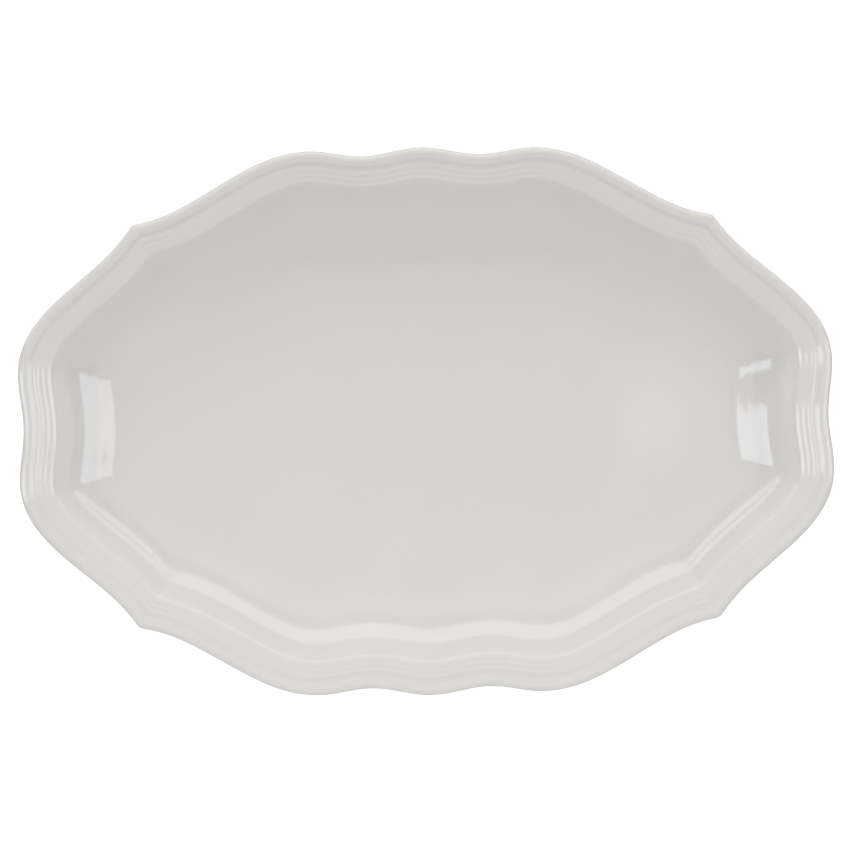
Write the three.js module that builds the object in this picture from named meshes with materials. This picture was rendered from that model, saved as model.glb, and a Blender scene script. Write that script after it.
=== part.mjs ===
// A large oval serving platter of white glazed porcelain, lying flat with its open side up.
// The rim's outline is scalloped: three lobes on each long side, two on each end, and a pointed
// cusp at each diagonal. A raised lip and a groove run round the rim parallel to that outline, and
// three ribs stand out at the lobes, the dips and the cusps, and fade away on the flanks between
// them. A sloping wall leads down to a flat well, and the platter stands on an unglazed foot ring.
//
// Millimetres, +Z up. The origin is on the table surface, under the middle of the platter, and
// +X runs along the long axis. Each quarter of the platter is a mirror image of the next one.
//
// "Depth" always means the horizontal distance in from the rim's outline. Every ring of the
// surface keeps one depth all the way round, so the ribs, the wall and the foot echo the scallops.

import * as THREE from 'three';

// ---- Driving dimensions -------------------------------------------------------------------

const HALF_LENGTH = 190;
const HALF_WIDTH = 127.8;
const FOOT_HEIGHT = 3.5;
const BASE_THICKNESS = 5.5;
const WELL_DEPTH = 19;
const RIM_RISE = 2;
const RIM_THICKNESS = 4.6;

const BASE_Z = FOOT_HEIGHT;
const FLOOR_Z = BASE_Z + BASE_THICKNESS;
const VERGE_Z = FLOOR_Z + WELL_DEPTH;

// The rim slopes gently up from the verge, where the wall begins, out to a rounded lip. The lip
// steps down into a groove, and the groove rises again to the ground that the ribs stand on.
const VERGE_DEPTH = 15.4;
const LIP = { crest: 2.6, edgeDrop: 2, underEnd: 2.4 };
const LIP_STEP = { start: 4.4, end: 6.4, height: 0.6 };
const GROOVE_RISE = { start: 6.6, end: 8.2, height: 0.22 };
const RIB = { depths: [8.7, 11.2, 13.8], halfWidth: 1.25, height: 0.12, cuspReach: 6, fade: 14 };

// The wall is a straight slope that runs out into the floor on a wide fillet. The outer face of
// the wall does the same above the base, with a tighter one.
const WALL_SLOPE = THREE.MathUtils.degToRad(48);
const INNER_WALL = { edge: 47.9, fillet: 34.6, levelZ: FLOOR_Z };
const OUTER_WALL = { edge: 40, fillet: 18, levelZ: BASE_Z };
const VERGE_ROUNDING = 0.25;

// The foot ring stands on the table between two depths, and widens towards the base.
const FOOT = { outer: 42.3, inner: 45.7, flare: 0.8, chamfer: 0.5 };

// ---- Outline ------------------------------------------------------------------------------

// Where one quarter of the outline crests, dips or turns, with its heading in degrees. They run
// clockwise from the middle of the long side to the middle of the end.
const CROWN = { x: 0, y: HALF_WIDTH, heading: 0 };
const SIDE_DIP = { x: 28, y: HALF_WIDTH - 3.7, heading: 0 };
const SHOULDER = { x: 52, y: HALF_WIDTH - 0.9, heading: 0 };
const SIDE_FLANK = { x: 95, y: 111.5, heading: -30 };
const CUSP = { x: 135.5, y: 94, headingIn: -10, headingOut: -55, rounding: 2 };
const END_FLANK = { x: 155, y: 73, heading: -40 };
const END_LOBE = { x: HALF_LENGTH, y: 25, heading: -90 };
const END_DIP = { x: HALF_LENGTH - 2.2, y: 0, heading: -90 };

// The length of a curve's handles, as a share of the straight distance that it spans.
const HANDLE_SHARE = 0.36;

// A spoke runs straight in from the outline to the long axis, and ends at this share of its x.
const SPOKE_END_SHARE = 0.59;

function direction(degrees) {
  const angle = THREE.MathUtils.degToRad(degrees);
  return new THREE.Vector2(Math.cos(angle), Math.sin(angle));
}

function besideCusp(heading, distance) {
  const offset = direction(heading).multiplyScalar(distance);
  return { x: CUSP.x + offset.x, y: CUSP.y + offset.y, heading };
}

function smoothSpan(from, to) {
  const start = new THREE.Vector2(from.x, from.y);
  const end = new THREE.Vector2(to.x, to.y);
  const reach = HANDLE_SHARE * start.distanceTo(end);
  const startHandle = start.clone().addScaledVector(direction(from.heading), reach);
  const endHandle = end.clone().addScaledVector(direction(to.heading), -reach);
  return new THREE.CubicBezierCurve(start, startHandle, endHandle, end);
}

function roundedCusp(from, to) {
  return new THREE.QuadraticBezierCurve(
    new THREE.Vector2(from.x, from.y),
    new THREE.Vector2(CUSP.x, CUSP.y),
    new THREE.Vector2(to.x, to.y),
  );
}

// One quarter of the outline as curves, each with the number of mesh steps that it gets.
function quarterOutline() {
  const cuspStart = besideCusp(CUSP.headingIn, -CUSP.rounding);
  const cuspEnd = besideCusp(CUSP.headingOut, CUSP.rounding);
  return [
    { curve: smoothSpan(CROWN, SIDE_DIP), steps: 4 },
    { curve: smoothSpan(SIDE_DIP, SHOULDER), steps: 3 },
    { curve: smoothSpan(SHOULDER, SIDE_FLANK), steps: 5 },
    { curve: smoothSpan(SIDE_FLANK, cuspStart), steps: 4 },
    { curve: roundedCusp(cuspStart, cuspEnd), steps: 2 },
    { curve: smoothSpan(cuspEnd, END_FLANK), steps: 2 },
    { curve: smoothSpan(END_FLANK, END_LOBE), steps: 6 },
    { curve: smoothSpan(END_LOBE, END_DIP), steps: 3 },
  ];
}

function outlinePoints(density) {
  const outline = quarterOutline();
  const points = [outline[0].curve.getPoint(0)];
  for (const { curve, steps } of outline) {
    points.push(...curve.getPoints(steps * density).slice(1));
  }
  return points;
}

const stations = outlinePoints(1);
const fineOutline = outlinePoints(12);

function distanceToSegment(point, from, to) {
  const along = to.clone().sub(from);
  const reach = point.clone().sub(from);
  const share = THREE.MathUtils.clamp(reach.dot(along) / along.lengthSq(), 0, 1);
  return reach.addScaledVector(along, -share).length();
}

// How far in from the outline a point of this quarter lies. The other quarters are never nearer.
function depthAt(point) {
  let nearest = Infinity;
  for (let i = 1; i < fineOutline.length; i += 1) {
    nearest = Math.min(nearest, distanceToSegment(point, fineOutline[i - 1], fineOutline[i]));
  }
  return nearest;
}

// The point on a station's spoke that lies at a depth, found by halving.
function pointAtDepth(station, depth) {
  const HALVINGS = 26;
  const spokeEnd = new THREE.Vector2(SPOKE_END_SHARE * station.x, 0);
  let low = 0;
  let high = 1;
  for (let i = 0; i < HALVINGS; i += 1) {
    const middle = (low + high) / 2;
    if (depthAt(station.clone().lerp(spokeEnd, middle)) < depth) {
      low = middle;
    } else {
      high = middle;
    }
  }
  return station.clone().lerp(spokeEnd, low);
}

// How much of their height the ribs have at a station: all of it at the lobes, the dips and the
// cusp, and nothing on the flanks.
function ribShare(station) {
  const pastSide = station.x - SHOULDER.x;
  const pastEnd = station.y - END_LOBE.y;
  const pastCusp = Math.hypot(station.x - CUSP.x, station.y - CUSP.y) - RIB.cuspReach;
  return 1 - THREE.MathUtils.smoothstep(Math.min(pastSide, pastEnd, pastCusp), 0, RIB.fade);
}

// The whole ring at one depth, clockwise from the middle of the far long side.
function ringAtDepth(depth) {
  const quarter = stations.map((station) => {
    const { x, y } = depth === 0 ? station : pointAtDepth(station, depth);
    return { x, y, ribs: ribShare(station) };
  });
  const mirrored = (sx, sy) => quarter.map((p) => ({ ...p, x: sx * p.x, y: sy * p.y }));
  return [
    ...mirrored(1, 1),
    ...mirrored(1, -1).reverse().slice(1),
    ...mirrored(-1, -1).slice(1),
    ...mirrored(-1, 1).reverse().slice(1, -1),
  ];
}

// ---- Heights across the section -----------------------------------------------------------

// The lower of two heights, blended smoothly where they cross.
function roundedMinimum(a, b, rounding) {
  return (a + b - Math.hypot(a - b, 2 * rounding)) / 2;
}

// A quarter of an ellipse: level at the end of its reach, and its whole drop down at its start.
function quarterRound(depth, reach, drop) {
  const t = 1 - Math.min(depth / reach, 1);
  return drop * (1 - Math.sqrt(1 - t * t));
}

function bead(depth, centre, halfWidth, height) {
  const t = Math.min(Math.abs(depth - centre) / halfWidth, 1);
  return height * 0.5 * (1 + Math.cos(Math.PI * t));
}

function rimBase(depth) {
  return VERGE_Z + RIM_RISE * (1 - depth / VERGE_DEPTH);
}

// The height of the relief above the bottom of the groove.
function rimRelief(depth, ribs) {
  const step = 1 - THREE.MathUtils.smoothstep(depth, LIP_STEP.start, LIP_STEP.end);
  const rise = THREE.MathUtils.smoothstep(depth, GROOVE_RISE.start, GROOVE_RISE.end);
  const beads = RIB.depths.map((centre) => bead(depth, centre, RIB.halfWidth, ribs * RIB.height));
  const ground = LIP_STEP.height * step + GROOVE_RISE.height * rise;
  return beads.reduce((sum, height) => sum + height, ground);
}

function wallHeight(depth, wall) {
  const slopeEnd = wall.edge - wall.fillet * Math.sin(WALL_SLOPE);
  if (depth > slopeEnd) {
    return wall.levelZ + wall.fillet - Math.sqrt(wall.fillet ** 2 - (wall.edge - depth) ** 2);
  }
  const filletRise = wall.fillet * (1 - Math.cos(WALL_SLOPE));
  return wall.levelZ + filletRise + (slopeEnd - depth) * Math.tan(WALL_SLOPE);
}

const LIP_Z = rimBase(LIP.crest) + LIP_STEP.height;

function topHeight(depth, ribs) {
  if (depth >= INNER_WALL.edge) {
    return FLOOR_Z;
  }
  if (depth <= LIP.crest) {
    return LIP_Z - quarterRound(depth, LIP.crest, LIP.edgeDrop);
  }
  const rim = rimBase(depth) + rimRelief(depth, ribs);
  return roundedMinimum(rim, wallHeight(depth, INNER_WALL), VERGE_ROUNDING);
}

function underHeight(depth) {
  if (depth >= OUTER_WALL.edge) {
    return BASE_Z;
  }
  const lipUnderZ = rimBase(LIP.underEnd) - RIM_THICKNESS;
  if (depth <= LIP.underEnd) {
    return lipUnderZ + quarterRound(depth, LIP.underEnd, LIP_Z - LIP.edgeDrop - lipUnderZ);
  }
  const rim = rimBase(depth) - RIM_THICKNESS;
  return roundedMinimum(rim, wallHeight(depth, OUTER_WALL), VERGE_ROUNDING);
}

// ---- Solids -------------------------------------------------------------------------------

function evenSteps(from, to, count) {
  return Array.from({ length: count + 1 }, (_, i) => from + ((to - from) * i) / count);
}

// Two triangles for each step between neighbouring rings.
function ringBand(first, second, perRing) {
  const triangles = [];
  for (let i = 0; i < perRing; i += 1) {
    const j = (i + 1) % perRing;
    triangles.push(first + i, first + j, second + j);
    triangles.push(first + i, second + j, second + i);
  }
  return triangles;
}

// A section is a list of [depth, z], from the inner edge over the top, and back underneath. Rows
// that the ribs lift have a third number, their z where the ribs have faded away.
function sweptRings(section) {
  const rings = section.map(([depth, z, plainZ = z]) => (
    ringAtDepth(depth).map((p) => [p.x, p.y, THREE.MathUtils.lerp(plainZ, z, p.ribs)])
  ));
  const perRing = rings[0].length;
  const triangles = [];
  for (let row = 1; row < rings.length; row += 1) {
    triangles.push(...ringBand((row - 1) * perRing, row * perRing, perRing));
  }
  return { vertices: rings.flat(), triangles, perRing, lastRing: (rings.length - 1) * perRing };
}

function solid(vertices, triangles) {
  const geometry = new THREE.BufferGeometry();
  geometry.setAttribute('position', new THREE.Float32BufferAttribute(vertices.flat(), 3));
  geometry.setIndex(triangles);
  geometry.computeVertexNormals();
  return geometry;
}

// The section's first and last rings are closed by flat faces that meet in the middle.
function dishSolid(section) {
  const { vertices, triangles, perRing, lastRing } = sweptRings(section);
  const topCentre = vertices.push([0, 0, section[0][1]]) - 1;
  const underCentre = vertices.push([0, 0, section.at(-1)[1]]) - 1;
  for (let i = 0; i < perRing; i += 1) {
    const j = (i + 1) % perRing;
    triangles.push(topCentre, j, i);
    triangles.push(underCentre, lastRing + i, lastRing + j);
  }
  return solid(vertices, triangles);
}

function ringSolid(section) {
  const { vertices, triangles, perRing, lastRing } = sweptRings(section);
  return solid(vertices, [...triangles, ...ringBand(lastRing, 0, perRing)]);
}

function platterBody() {
  const topDepths = [
    ...evenSteps(0, LIP.crest, 3),
    ...evenSteps(LIP_STEP.start, LIP_STEP.end, 3),
    ...evenSteps(RIB.depths[0] - RIB.halfWidth, VERGE_DEPTH, 12),
    ...evenSteps(VERGE_DEPTH, INNER_WALL.edge, 9).slice(1),
  ];
  const underDepths = [
    ...evenSteps(0, LIP.underEnd, 2).slice(1),
    ...evenSteps(VERGE_DEPTH - 3, OUTER_WALL.edge, 7),
  ];
  const section = [
    ...topDepths.reverse().map((depth) => [depth, topHeight(depth, 1), topHeight(depth, 0)]),
    ...underDepths.map((depth) => [depth, underHeight(depth)]),
  ];
  const glazed = new THREE.MeshStandardMaterial({ color: 0xeeece6, roughness: 0.1, metalness: 0 });
  return new THREE.Mesh(dishSolid(section), glazed);
}

function footRing() {
  const section = [
    [FOOT.inner + FOOT.flare, FOOT_HEIGHT],
    [FOOT.outer - FOOT.flare, FOOT_HEIGHT],
    [FOOT.outer, FOOT.chamfer],
    [FOOT.outer + FOOT.chamfer, 0],
    [FOOT.inner - FOOT.chamfer, 0],
    [FOOT.inner, FOOT.chamfer],
  ];
  const unglazed = new THREE.MeshStandardMaterial({ color: 0xe2dccf, roughness: 0.8, metalness: 0 });
  return new THREE.Mesh(ringSolid(section), unglazed);
}

// ---- Assembly -----------------------------------------------------------------------------

const group = new THREE.Group();
for (const [name, mesh] of Object.entries({ platter_body: platterBody(), foot_ring: footRing() })) {
  mesh.name = name;
  group.add(mesh);
}

export default group;
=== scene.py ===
import math

import bpy
import numpy as np
from mathutils import Matrix, Vector


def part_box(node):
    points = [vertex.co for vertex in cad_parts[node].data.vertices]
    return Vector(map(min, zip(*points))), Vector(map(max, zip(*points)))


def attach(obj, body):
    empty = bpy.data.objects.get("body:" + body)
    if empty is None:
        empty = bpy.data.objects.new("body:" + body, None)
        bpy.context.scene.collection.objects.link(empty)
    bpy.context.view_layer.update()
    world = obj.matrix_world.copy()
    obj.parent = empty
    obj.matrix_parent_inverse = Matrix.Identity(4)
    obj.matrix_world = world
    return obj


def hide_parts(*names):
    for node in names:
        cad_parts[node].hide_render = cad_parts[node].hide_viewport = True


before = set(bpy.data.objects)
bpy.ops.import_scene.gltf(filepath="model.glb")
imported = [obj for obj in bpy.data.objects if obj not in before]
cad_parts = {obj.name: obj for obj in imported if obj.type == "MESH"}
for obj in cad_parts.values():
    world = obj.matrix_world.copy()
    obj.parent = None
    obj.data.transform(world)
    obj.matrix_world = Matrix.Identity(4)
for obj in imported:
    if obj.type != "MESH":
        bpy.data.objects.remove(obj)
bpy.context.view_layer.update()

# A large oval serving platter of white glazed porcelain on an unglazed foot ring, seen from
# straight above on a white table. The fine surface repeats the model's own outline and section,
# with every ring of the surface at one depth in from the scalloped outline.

MM = 0.001

# ---- Driving dimensions in millimetres, the overall ones from the frame --------------------

body_low, body_high = (np.array(corner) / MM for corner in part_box("platter_body"))
foot_low, foot_high = (np.array(corner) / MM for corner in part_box("foot_ring"))

HALF_LENGTH = body_high[0]
HALF_WIDTH = body_high[1]
LIP_Z = body_high[2]
BASE_Z = body_low[2]
TABLE_Z = foot_low[2]
BASE_THICKNESS = 5.5
WELL_DEPTH = 19
RIM_THICKNESS = 4.6
FLOOR_Z = BASE_Z + BASE_THICKNESS
VERGE_Z = FLOOR_Z + WELL_DEPTH

VERGE_DEPTH = 15.4
LIP = {"crest": 2.6, "edge_drop": 2.0, "under_end": 2.4}
LIP_STEP = {"start": 4.4, "end": 6.4, "height": 0.6}
GROOVE_RISE = {"start": 6.6, "end": 8.2, "height": 0.22}
RIB = {
    "depths": (8.7, 11.2, 13.8),
    "half_width": 1.25,
    "height": 0.12,
    "cusp_reach": 6,
    "fade": 14,
}
RIM_SLOPE = (LIP_Z - LIP_STEP["height"] - VERGE_Z) / (VERGE_DEPTH - LIP["crest"])

WALL_SLOPE = math.radians(48)
INNER_WALL = {"edge": 47.9, "fillet": 34.6, "level": FLOOR_Z}
OUTER_WALL = {"edge": 40.0, "fillet": 18.0, "level": BASE_Z}
VERGE_ROUNDING = 0.25

FOOT = {"outer": 42.3, "inner": 45.7, "flare": 0.8, "chamfer": 0.5}

# ---- Outline: the same places and headings as in the model ----------------------------------

CROWN = (0.0, HALF_WIDTH, 0)
SIDE_DIP = (28.0, HALF_WIDTH - 3.7, 0)
SHOULDER = (52.0, HALF_WIDTH - 0.9, 0)
SIDE_FLANK = (95.0, 111.5, -30)
CUSP = np.array((135.5, 94.0))
CUSP_HEADING_IN = -10
CUSP_HEADING_OUT = -55
CUSP_ROUNDING = 2.0
END_FLANK = (155.0, 73.0, -40)
END_LOBE = (HALF_LENGTH, 25.0, -90)
END_DIP = (HALF_LENGTH - 2.2, 0.0, -90)

# The length of a curve's handles, as a share of the straight distance that it spans. A spoke runs
# straight in from the outline to the long axis, and ends at a share of its own x.
HANDLE_SHARE = 0.36
SPOKE_END_SHARE = 0.59

# ---- Mesh ---------------------------------------------------------------------------------------

# How many steps each step of the outline gets in the mesh, and in the finer outline that depths
# are measured from.
MESH_DENSITY = 5
OUTLINE_DENSITY = 15

# The spacing of the rings on the rim and how far past the verge it goes on, in millimetres, and
# then the number of rings on each further stretch of the section.
RIM_SPACING = 0.25
PAST_VERGE = 1.5
WALL_RINGS = 35
LIP_RINGS = 9
UNDER_LIP_RINGS = 7
UNDER_RIM = {"reach": 11.4, "rings": 4}
UNDER_WALL_RINGS = 23
UNDER_FOOT_RINGS = 2

# The sizes of the rings on the flat floor and base, as shares of the ring at the floor's edge.
FLAT_RINGS = (0.86, 0.68, 0.5, 0.32, 0.14)


def direction(degrees):
    angle = math.radians(degrees)
    return np.array((math.cos(angle), math.sin(angle)))


def smooth_span(start, end, steps):
    """Points on the cubic curve between two places, without the first one."""
    first, last = np.array(start[:2]), np.array(end[:2])
    reach = HANDLE_SHARE * np.linalg.norm(last - first)
    leave = first + reach * direction(start[2])
    arrive = last - reach * direction(end[2])
    t = np.arange(1, steps + 1)[:, None] / steps
    s = 1 - t
    return s**3 * first + 3 * s * s * t * leave + 3 * s * t * t * arrive + t**3 * last


def rounded_cusp(start, end, steps):
    """Points on the small rounded corner at the cusp, without the first one."""
    t = np.arange(1, steps + 1)[:, None] / steps
    s = 1 - t
    return s * s * np.array(start[:2]) + 2 * s * t * CUSP + t * t * np.array(end[:2])


def quarter_outline(density):
    """One quarter of the outline, from the middle of the long side to the middle of the end."""
    cusp_start = (*(CUSP - CUSP_ROUNDING * direction(CUSP_HEADING_IN)), CUSP_HEADING_IN)
    cusp_end = (*(CUSP + CUSP_ROUNDING * direction(CUSP_HEADING_OUT)), CUSP_HEADING_OUT)
    spans = (
        (smooth_span, CROWN, SIDE_DIP, 4),
        (smooth_span, SIDE_DIP, SHOULDER, 3),
        (smooth_span, SHOULDER, SIDE_FLANK, 6),
        (smooth_span, SIDE_FLANK, cusp_start, 5),
        (rounded_cusp, cusp_start, cusp_end, 1),
        (smooth_span, cusp_end, END_FLANK, 3),
        (smooth_span, END_FLANK, END_LOBE, 7),
        (smooth_span, END_LOBE, END_DIP, 3),
    )
    points = [np.array([CROWN[:2]])]
    for make, start, end, steps in spans:
        points.append(make(start, end, steps * density))
    return np.concatenate(points)


def smoothstep(x, start, end):
    t = np.clip((x - start) / (end - start), 0, 1)
    return t * t * (3 - 2 * t)


def rib_share(stations):
    """How much of their height the ribs have at each station: all of it at the lobes, the dips and
    the cusp, and nothing on the flanks."""
    past_side = stations[:, 0] - SHOULDER[0]
    past_end = stations[:, 1] - END_LOBE[1]
    past_cusp = np.linalg.norm(stations - CUSP, axis=1) - RIB["cusp_reach"]
    return 1 - smoothstep(np.minimum(np.minimum(past_side, past_end), past_cusp), 0, RIB["fade"])


def all_round(quarter, flip_x, flip_y):
    """A whole ring from one quarter and its mirror images, clockwise from the middle of the far
    long side. The flips are what mirroring does to each of the quarter's values."""
    return np.concatenate((
        quarter,
        (quarter * flip_y)[::-1][1:],
        (quarter * flip_x * flip_y)[1:],
        (quarter * flip_x)[::-1][1:-1],
    ))


def distance_to_outline(points, outline):
    """The distance from each point to the nearest segment of the outline."""
    start = outline[:-1]
    along = outline[1:] - start
    reach = points[:, None, :] - start[None]
    share = (reach * along).sum(2) / (along * along).sum(1)
    gap = reach - np.clip(share, 0, 1)[..., None] * along
    return np.sqrt((gap * gap).sum(2)).min(1)


class Rings:
    """Finds whole rings at any depth, by reading each spoke's depth table backwards."""

    TABLE_STEP = 0.2
    TABLE_REACH = 66.0
    SMOOTHING = 0.02

    def __init__(self):
        self.stations = quarter_outline(MESH_DENSITY)
        outline = quarter_outline(OUTLINE_DENSITY)
        ends = self.stations * (SPOKE_END_SHARE, 0)
        spokes = ends - self.stations
        self.spokes = spokes / np.linalg.norm(spokes, axis=1)[:, None]
        self.ribs = all_round(rib_share(self.stations), 1, 1)
        self.reach = np.arange(0, self.TABLE_REACH, self.TABLE_STEP)
        self.tables = [
            distance_to_outline(station + self.reach[:, None] * spoke, outline)
            for station, spoke in zip(self.stations, self.spokes)
        ]

    def at(self, depth):
        """The ring at a depth. It is smoothed more often the deeper it lies, as the glaze and the
        mould soften every crease that runs down the wall."""
        reach = np.array([np.interp(depth, table, self.reach) for table in self.tables])
        ring = all_round(self.stations + reach[:, None] * self.spokes, (-1, 1), (1, -1))
        for _ in range(round(self.SMOOTHING * depth * depth)):
            ring = (np.roll(ring, 1, axis=0) + 2 * ring + np.roll(ring, -1, axis=0)) / 4
        return ring


# ---- Heights across the section ---------------------------------------------------------------

def rounded_minimum(a, b, rounding):
    return (a + b - np.hypot(a - b, 2 * rounding)) / 2


def bead(depth, centre, half_width, height):
    t = np.minimum(np.abs(depth - centre) / half_width, 1)
    return height * 0.5 * (1 + np.cos(math.pi * t))


def rim_base(depth):
    return VERGE_Z + RIM_SLOPE * (VERGE_DEPTH - depth)


def rim_relief(depth, ribs):
    """The height of the relief above the bottom of the groove behind the lip."""
    step = 1 - smoothstep(depth, LIP_STEP["start"], LIP_STEP["end"])
    rise = smoothstep(depth, GROOVE_RISE["start"], GROOVE_RISE["end"])
    height = ribs * RIB["height"]
    beads = sum(bead(depth, centre, RIB["half_width"], height) for centre in RIB["depths"])
    return LIP_STEP["height"] * step + GROOVE_RISE["height"] * rise + beads


def wall_height(depth, wall):
    slope_end = wall["edge"] - wall["fillet"] * math.sin(WALL_SLOPE)
    inside = np.clip(wall["edge"] - depth, 0, wall["edge"] - slope_end)
    fillet = wall["fillet"] - np.sqrt(wall["fillet"] ** 2 - inside**2)
    slope = np.maximum(slope_end - depth, 0) * math.tan(WALL_SLOPE)
    return wall["level"] + fillet + slope


def top_height(depth, ribs):
    rim = rim_base(depth) + rim_relief(depth, ribs)
    wall = wall_height(depth, INNER_WALL)
    return np.where(depth < INNER_WALL["edge"], rounded_minimum(rim, wall, VERGE_ROUNDING), FLOOR_Z)


def under_height(depth):
    rim = rim_base(depth) - RIM_THICKNESS
    wall = wall_height(depth, OUTER_WALL)
    return np.where(depth < OUTER_WALL["edge"], rounded_minimum(rim, wall, VERGE_ROUNDING), BASE_Z)


def quarter_round(reach, start_z, end_z, steps):
    """Section points on a quarter ellipse, upright at depth 0 and level at the end of its reach."""
    angle = np.linspace(0, math.pi / 2, steps + 1)
    return np.stack((reach * (1 - np.cos(angle)), start_z + (end_z - start_z) * np.sin(angle)), 1)


def spread(start, end, rings):
    """Evenly spaced depths after the start, of which the last is the end."""
    return np.linspace(start, end, rings + 1)[1:]


def body_section(ribs):
    """[depth, z] from the edge of the floor, over the lip, and back to the base under that edge."""
    edge_z = LIP_Z - LIP["edge_drop"]
    lip_under_z = rim_base(LIP["under_end"]) - RIM_THICKNESS
    rim_depths = np.arange(LIP["crest"], VERGE_DEPTH + PAST_VERGE, RIM_SPACING)[1:]
    wall_depths = spread(rim_depths[-1], INNER_WALL["edge"], WALL_RINGS)
    top_depths = np.concatenate((rim_depths, wall_depths))
    under_depths = np.concatenate((
        spread(LIP["under_end"], UNDER_RIM["reach"], UNDER_RIM["rings"]),
        spread(UNDER_RIM["reach"], OUTER_WALL["edge"], UNDER_WALL_RINGS),
        spread(OUTER_WALL["edge"], INNER_WALL["edge"], UNDER_FOOT_RINGS),
    ))
    top = np.stack((top_depths, top_height(top_depths, ribs)), 1)
    under = np.stack((under_depths, under_height(under_depths)), 1)
    lip = quarter_round(LIP["crest"], edge_z, LIP_Z, LIP_RINGS)
    lip_under = quarter_round(LIP["under_end"], edge_z, lip_under_z, UNDER_LIP_RINGS)
    return np.concatenate((top[::-1], lip[::-1], lip_under[1:], under))


# ---- Meshes -------------------------------------------------------------------------------------

# The glaze's share of pooling on a flat surface, and how much a bend of one radian per
# millimetre changes it.
EVEN_GLAZE = 0.5
POOLING_GAIN = 0.35

# Where the middle of the foot's rounded lower edges lies, as a share of the chamfer, both in from
# the foot's side and up from the table.
FOOT_ARRIS = 0.3


def ring_faces(first, second, count):
    here = np.arange(count)
    after = (here + 1) % count
    return np.stack((first + here, first + after, second + after, second + here), 1).tolist()


def mesh_object(name, vertices, faces, material):
    mesh = bpy.data.meshes.new(name)
    mesh.from_pydata((np.array(vertices) * MM).tolist(), [], faces)
    mesh.materials.append(material)
    mesh.validate()
    mesh.shade_smooth()
    made = bpy.data.objects.new(name, mesh)
    bpy.context.collection.objects.link(made)
    return made


def platter_body(rings, material):
    """The glazed body: the flat floor, the section swept round, and the flat base."""
    ribbed, plain = body_section(1), body_section(0)
    heights = plain[:, 1:] + np.outer(ribbed[:, 1] - plain[:, 1], rings.ribs)
    floor_edge = rings.at(INNER_WALL["edge"])
    count = len(floor_edge)
    stack = [(share * floor_edge, np.full(count, FLOOR_Z)) for share in FLAT_RINGS[::-1]]
    stack += [(rings.at(depth), z) for depth, z in zip(plain[:, 0], heights)]
    stack += [(share * floor_edge, np.full(count, BASE_Z)) for share in FLAT_RINGS]
    vertices = [np.column_stack((ring, z)) for ring, z in stack]
    faces = []
    for row in range(len(stack) - 1):
        faces += ring_faces(row * count, (row + 1) * count, count)
    last = (len(stack) - 1) * count
    faces.append(list(range(count))[::-1])
    faces.append(list(range(last, last + count)))
    body = mesh_object("platter_body_glazed", np.concatenate(vertices), faces, material)
    pooled = np.outer(pooling(ribbed), rings.ribs) + np.outer(pooling(plain), 1 - rings.ribs)
    flat = np.full((len(FLAT_RINGS), count), EVEN_GLAZE)
    body.data.attributes.new("pooling", "FLOAT", "POINT")
    values = np.concatenate((flat, pooled, flat)).ravel().astype(np.float32)
    body.data.attributes["pooling"].data.foreach_set("value", values)
    return body


def pooling(section):
    """1 where the glaze gathers in a groove, 0 where it pulls thin over a crest."""
    along = np.concatenate(([0], np.cumsum(np.linalg.norm(np.diff(section, axis=0), axis=1))))
    tangent = np.gradient(section, along, axis=0)
    heading = np.unwrap(np.arctan2(tangent[:, 1], tangent[:, 0]))
    bend = np.gradient(heading, along)
    return np.clip(EVEN_GLAZE - POOLING_GAIN * bend, 0, 1)


def foot_ring(rings, material):
    """The foot: sides that spread towards the body, rounded arrises and a ground flat underside."""
    top = foot_high[2]
    chamfer = FOOT["chamfer"]
    section = (
        (FOOT["inner"] + FOOT["flare"], top),
        (FOOT["outer"] - FOOT["flare"], top),
        (FOOT["outer"] - 0.5 * FOOT["flare"], 0.5 * top),
        (FOOT["outer"], chamfer),
        (FOOT["outer"] + FOOT_ARRIS * chamfer, FOOT_ARRIS * chamfer),
        (FOOT["outer"] + chamfer, TABLE_Z),
        (FOOT["inner"] - chamfer, TABLE_Z),
        (FOOT["inner"] - FOOT_ARRIS * chamfer, FOOT_ARRIS * chamfer),
        (FOOT["inner"], chamfer),
        (FOOT["inner"] + 0.5 * FOOT["flare"], 0.5 * top),
    )
    stack = [(rings.at(depth), z) for depth, z in section]
    count = len(stack[0][0])
    vertices = [np.column_stack((ring, np.full(count, z))) for ring, z in stack]
    faces = []
    for row in range(len(stack)):
        faces += ring_faces(row * count, (row + 1) % len(stack) * count, count)
    return mesh_object("foot_ring_unglazed", np.concatenate(vertices), faces, material)


# ---- Materials ----------------------------------------------------------------------------------

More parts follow.
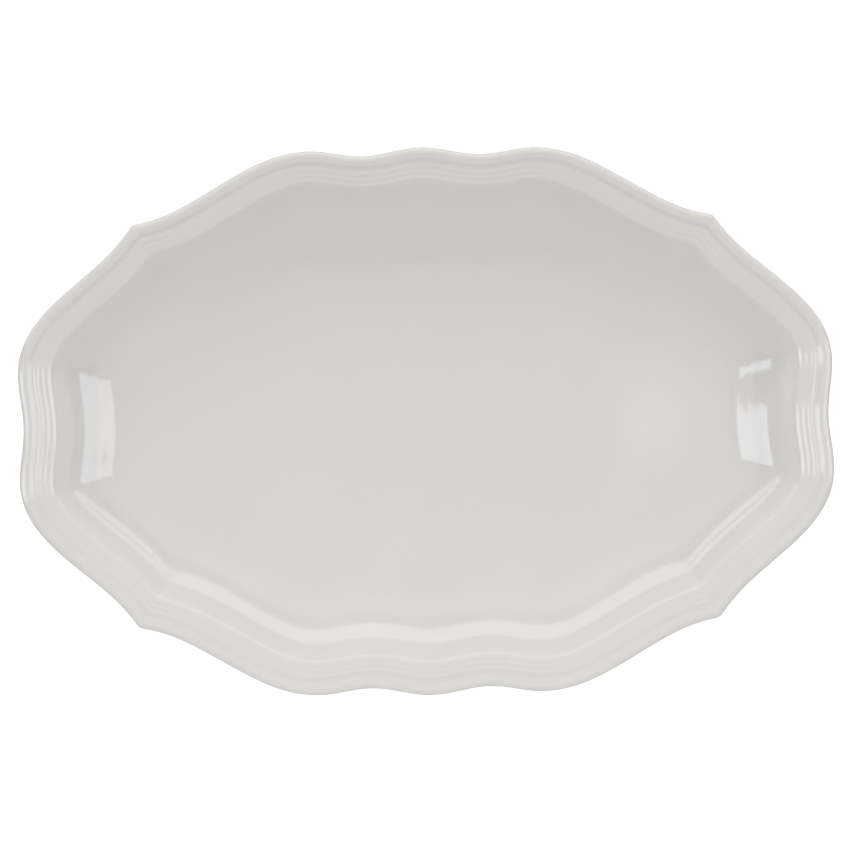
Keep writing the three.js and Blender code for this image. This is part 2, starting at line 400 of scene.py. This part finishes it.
class Nodes:
    """A small helper that adds nodes to a material and links them."""

    def __init__(self, name):
        self.material = bpy.data.materials.new(name)
        self.material.use_nodes = True
        self.tree = self.material.node_tree
        self.shader = self.tree.nodes["Principled BSDF"]

    def add(self, kind, inputs=None, **settings):
        node = self.tree.nodes.new(kind)
        for key, value in settings.items():
            setattr(node, key, value)
        for socket, value in (inputs or {}).items():
            self.feed(node, socket, value)
        return node

    def feed(self, node, socket, value):
        if isinstance(value, bpy.types.NodeSocket):
            self.tree.links.new(value, node.inputs[socket])
        else:
            node.inputs[socket].default_value = value

    def noise(self, size_mm, detail=2.0, roughness=0.5):
        """A noise between 0 and 1 whose lumps are about this size."""
        place = self.add("ShaderNodeTexCoord").outputs["Object"]
        scale = 1 / (size_mm * MM)
        inputs = {"Vector": place, "Scale": scale, "Detail": detail, "Roughness": roughness}
        return self.add("ShaderNodeTexNoise", inputs).outputs["Fac"]

    def ramp(self, factor, start, end):
        """Maps a factor from the inputs of start and end onto their outputs, clamped. Start and
        end are pairs of an input and an output."""
        inputs = {"Value": factor, "From Min": start[0], "From Max": end[0]}
        inputs |= {"To Min": start[1], "To Max": end[1]}
        return self.add("ShaderNodeMapRange", inputs).outputs["Result"]

    def mix(self, factor, first, second):
        node = self.add("ShaderNodeMix", data_type="RGBA")
        self.feed(node, 0, factor)
        self.feed(node, 6, first)
        self.feed(node, 7, second)
        return node.outputs[2]

    def bump(self, height, distance_mm, normal=None):
        """Normals for a height between 0 and 1 that stands for this distance."""
        inputs = {"Height": height, "Distance": distance_mm * MM}
        if normal is not None:
            inputs["Normal"] = normal
        return self.add("ShaderNodeBump", inputs).outputs["Normal"]


def glazed_porcelain():
    """Warm white porcelain under clear glaze that pools in the grooves and thins on the crests."""
    nodes = Nodes("glazed_porcelain")
    body_white = (0.78, 0.765, 0.735, 1)
    body_cool = (0.765, 0.757, 0.735, 1)
    thin_glaze = (0.80, 0.775, 0.74, 1)
    deep_glaze = (0.735, 0.735, 0.715, 1)
    clouding = nodes.ramp(nodes.noise(size_mm=45, detail=3), (0.35, 0), (0.65, 1))
    ground = nodes.mix(clouding, body_white, body_cool)
    pooling_value = nodes.add("ShaderNodeAttribute", attribute_name="pooling").outputs["Fac"]
    thin = nodes.ramp(pooling_value, (0.45, 0), (0.2, 1))
    deep = nodes.ramp(pooling_value, (0.55, 0), (0.85, 1))
    ground = nodes.mix(thin, ground, thin_glaze)
    ground = nodes.mix(deep, ground, deep_glaze)
    nodes.feed(nodes.shader, "Base Color", ground)
    gloss = nodes.ramp(nodes.noise(size_mm=18, detail=3), (0.3, 0.05), (0.7, 0.085))
    nodes.feed(nodes.shader, "Roughness", gloss)
    nodes.feed(nodes.shader, "IOR", 1.5)
    waves = nodes.bump(nodes.noise(size_mm=14, detail=1), distance_mm=0.02)
    skin = nodes.bump(nodes.noise(size_mm=2.2, detail=2), distance_mm=0.0012, normal=waves)
    nodes.feed(nodes.shader, "Normal", skin)
    return nodes.material


def unglazed_porcelain():
    """Bare fired porcelain: matt, slightly grey and sandy, rubbed by the table."""
    nodes = Nodes("unglazed_foot")
    bare = (0.66, 0.61, 0.53, 1)
    rubbed = (0.52, 0.48, 0.42, 1)
    grain = nodes.noise(size_mm=0.5, detail=4, roughness=0.7)
    stain = nodes.ramp(nodes.noise(size_mm=12, detail=3), (0.45, 0), (0.7, 1))
    nodes.feed(nodes.shader, "Base Color", nodes.mix(stain, bare, rubbed))
    nodes.feed(nodes.shader, "Roughness", nodes.ramp(grain, (0.3, 0.7), (0.7, 0.9)))
    nodes.feed(nodes.shader, "Normal", nodes.bump(grain, distance_mm=0.05))
    return nodes.material


# ---- Stage, light and camera --------------------------------------------------------------------

# Distances and widths in metres, and angles in degrees.

TABLE_HALF_WIDTH = 20

# How strongly the table's painted glow shines at a distance from its middle, as pairs of the two.
NEAR_TABLE_GLOW = (0.25, 0.62)
FAR_TABLE_GLOW = (0.8, 1.0)

NEUTRAL = (1.0, 1.0, 1.0)
DAYLIGHT = (0.98, 1.0, 1.14)
WARM_WHITE = (1.03, 1.0, 0.87)

# The far box's parts, as pairs of the x of the middle and the width, and the elevations of its
# lower edge, its seam and its upper edge.
FAR_BOX_PARTS = ((0, 2.1), (-1.9, 1.4), (1.9, 1.4))
FAR_BOX_DISTANCE = 1.6
FAR_BOX_LEVELS = (2.5, 17, 33)
FAR_BOX_RADIANCE = 2.1

# The elevations at which the softboxes of a window meet.
WINDOW_LEVELS = (24.3, 41, 58, 75.8)
WINDOW_DISTANCE = 3.0

FILL_DISTANCE = 2.2
FILL_LEVELS = (1, 30)
FILL_WIDTH = 2.4


def table_painted_glow():
    """A pale table with a painted glow that only the camera sees. The glow is weaker near the platter,
    where the table takes a soft shadow, and grows to white further off. What it throws back onto the
    platter is a plain light grey."""
    nodes = Nodes("table_painted_glow")
    nodes.feed(nodes.shader, "Base Color", (0.8, 0.8, 0.8, 1))
    nodes.feed(nodes.shader, "Roughness", 0.9)
    nodes.feed(nodes.shader, "Emission Color", (1, 1, 1, 1))
    # Painted light: the table glows brighter the further it lies from the platter, and only camera rays
    # see the glow.
    place = nodes.add("ShaderNodeTexCoord").outputs["Object"]
    far_off = nodes.add("ShaderNodeVectorMath", {0: place}, operation="LENGTH").outputs["Value"]
    glow = nodes.ramp(far_off, NEAR_TABLE_GLOW, FAR_TABLE_GLOW)
    nodes.feed(nodes.shader, "Emission Strength", glow)
    bounce = nodes.add("ShaderNodeBsdfDiffuse", {"Color": (0.45, 0.45, 0.45, 1)})
    seen = nodes.add("ShaderNodeLightPath").outputs["Is Camera Ray"]
    both = nodes.add("ShaderNodeMixShader", {0: seen, 1: bounce.outputs[0], 2: nodes.shader.outputs[0]})
    nodes.feed(nodes.tree.nodes["Material Output"], "Surface", both.outputs[0])
    return nodes.material


def table():
    """A flat plane at the height of the foot's underside, staged for the pictures only."""
    half = TABLE_HALF_WIDTH / MM
    signs = ((-1, -1), (1, -1), (1, 1), (-1, 1))
    corners = [(x * half, y * half, TABLE_Z) for x, y in signs]
    plane = mesh_object("table", corners, [(0, 1, 2, 3)], table_painted_glow())


def softbox(name, low_edge, high_edge, width, radiance, tint=NEUTRAL):
    """A softbox between the middles of two opposite edges, facing the platter. Its brightness is
    stated as radiance, so it doesn't depend on its size."""
    low_edge, high_edge = Vector(low_edge), Vector(high_edge)
    up = high_edge - low_edge
    middle = (low_edge + high_edge) / 2
    across = up.cross(-middle).normalized()
    facing = up.cross(across).normalized()
    if facing.dot(middle) < 0:
        facing = -facing
    light = bpy.data.lights.new(name, "AREA")
    light.shape = "RECTANGLE"
    light.size = width
    light.size_y = up.length
    light.energy = radiance * math.pi * width * up.length
    light.color = tint
    made = bpy.data.objects.new(name, light)
    y_axis = up.normalized()
    x_axis = y_axis.cross(facing)
    rotation = Matrix((x_axis, y_axis, facing)).transposed().to_4x4()
    made.matrix_world = Matrix.Translation(middle) @ rotation
    made.visible_camera = False
    bpy.context.collection.objects.link(made)


def from_platter(azimuth, elevation, distance):
    """A point seen from the middle of the platter. Azimuth is anticlockwise from +X."""
    a, e = math.radians(azimuth), math.radians(elevation)
    return distance * Vector((math.cos(a) * math.cos(e), math.sin(a) * math.cos(e), math.sin(e)))


def window(name, azimuth, half_angle, radiance):
    """Softboxes stacked beyond one end of the platter, which show as a window in the far end wall.
    Each is as wide as the same angle at its own height, so that the window's sides are straight."""
    for low, high in zip(WINDOW_LEVELS, WINDOW_LEVELS[1:]):
        reach = WINDOW_DISTANCE * math.cos(math.radians((low + high) / 2))
        width = 2 * reach * math.tan(math.radians(half_angle))
        low_edge = from_platter(azimuth, low, WINDOW_DISTANCE)
        high_edge = from_platter(azimuth, high, WINDOW_DISTANCE)
        softbox(name, low_edge, high_edge, width, radiance, DAYLIGHT)


def far_box():
    """A long low box behind the far side, in two tiers, with a gap towards each far cusp."""
    edges = [from_platter(90, level, FAR_BOX_DISTANCE) for level in FAR_BOX_LEVELS]
    for x, width in FAR_BOX_PARTS:
        aside = Vector((x, 0, 0))
        for low_edge, high_edge in zip(edges, edges[1:]):
            softbox("far_box", aside + low_edge, aside + high_edge, width, FAR_BOX_RADIANCE)


def fill(name, azimuth, radiance):
    """A weak low box beyond one end of the platter."""
    low_edge, high_edge = (from_platter(azimuth, level, FILL_DISTANCE) for level in FILL_LEVELS)
    softbox(name, low_edge, high_edge, FILL_WIDTH, radiance)


def studio():
    """The far box, a bounce card in front, light from above, and fill and a window at each end. The
    small ceiling lamp shows as a faint soft patch in the well."""
    far_box()
    softbox("bounce_card", (0, -0.3, 0.01), (0, -0.3, 0.46), width=1.6, radiance=0.65)
    softbox("ceiling", (0, -2, 2.5), (0, 2, 2.5), width=4.0, radiance=0.62, tint=WARM_WHITE)
    lamp_low, lamp_high = (0.194, -0.03, 2.45), (0.194, 0.04, 2.45)
    softbox("ceiling_lamp", lamp_low, lamp_high, width=0.05, radiance=1.2, tint=DAYLIGHT)
    fill("right_fill", azimuth=0, radiance=0.10)
    fill("left_fill", azimuth=180, radiance=0.24)
    window("right_window", azimuth=2, half_angle=12, radiance=2.8)
    window("left_window", azimuth=185.2, half_angle=8.8, radiance=3.6)


def surroundings():
    """White behind everything, which sheds no light of its own."""
    world = bpy.data.worlds.new("surroundings")
    world.use_nodes = True
    tree = world.node_tree
    background = tree.nodes["Background"]
    background.inputs["Color"].default_value = (1, 1, 1, 1)
    seen = tree.nodes.new("ShaderNodeLightPath").outputs["Is Camera Ray"]
    tree.links.new(seen, background.inputs["Strength"])
    bpy.context.scene.world = world
    bpy.context.scene.view_settings.view_transform = "Standard"


def camera():
    """Straight above, through a long lens. The platter lies a little turned in the frame, and a
    little right of and above its middle."""
    distance = 3.0
    frame_width = 396.3 * MM
    turn = math.radians(-1.08)
    offset = Vector((-0.485 * MM, -1.739 * MM, 0))
    lens = bpy.data.cameras.new("camera")
    lens.sensor_width = 36
    lens.lens = lens.sensor_width * distance / frame_width
    lens.clip_end = 100
    made = bpy.data.objects.new("camera", lens)
    turned = Matrix.Rotation(turn, 4, "Z")
    above = Vector((0, 0, LIP_Z * MM + distance))
    made.matrix_world = Matrix.Translation(turned @ offset + above) @ turned
    bpy.context.collection.objects.link(made)
    bpy.context.scene.camera = made


# ---- Assembly -----------------------------------------------------------------------------------

camera()
rings = Rings()
body = platter_body(rings, glazed_porcelain())
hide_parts("platter_body")
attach(body, "root")
foot = foot_ring(rings, unglazed_porcelain())
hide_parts("foot_ring")
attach(foot, "root")
table()
studio()
surroundings()
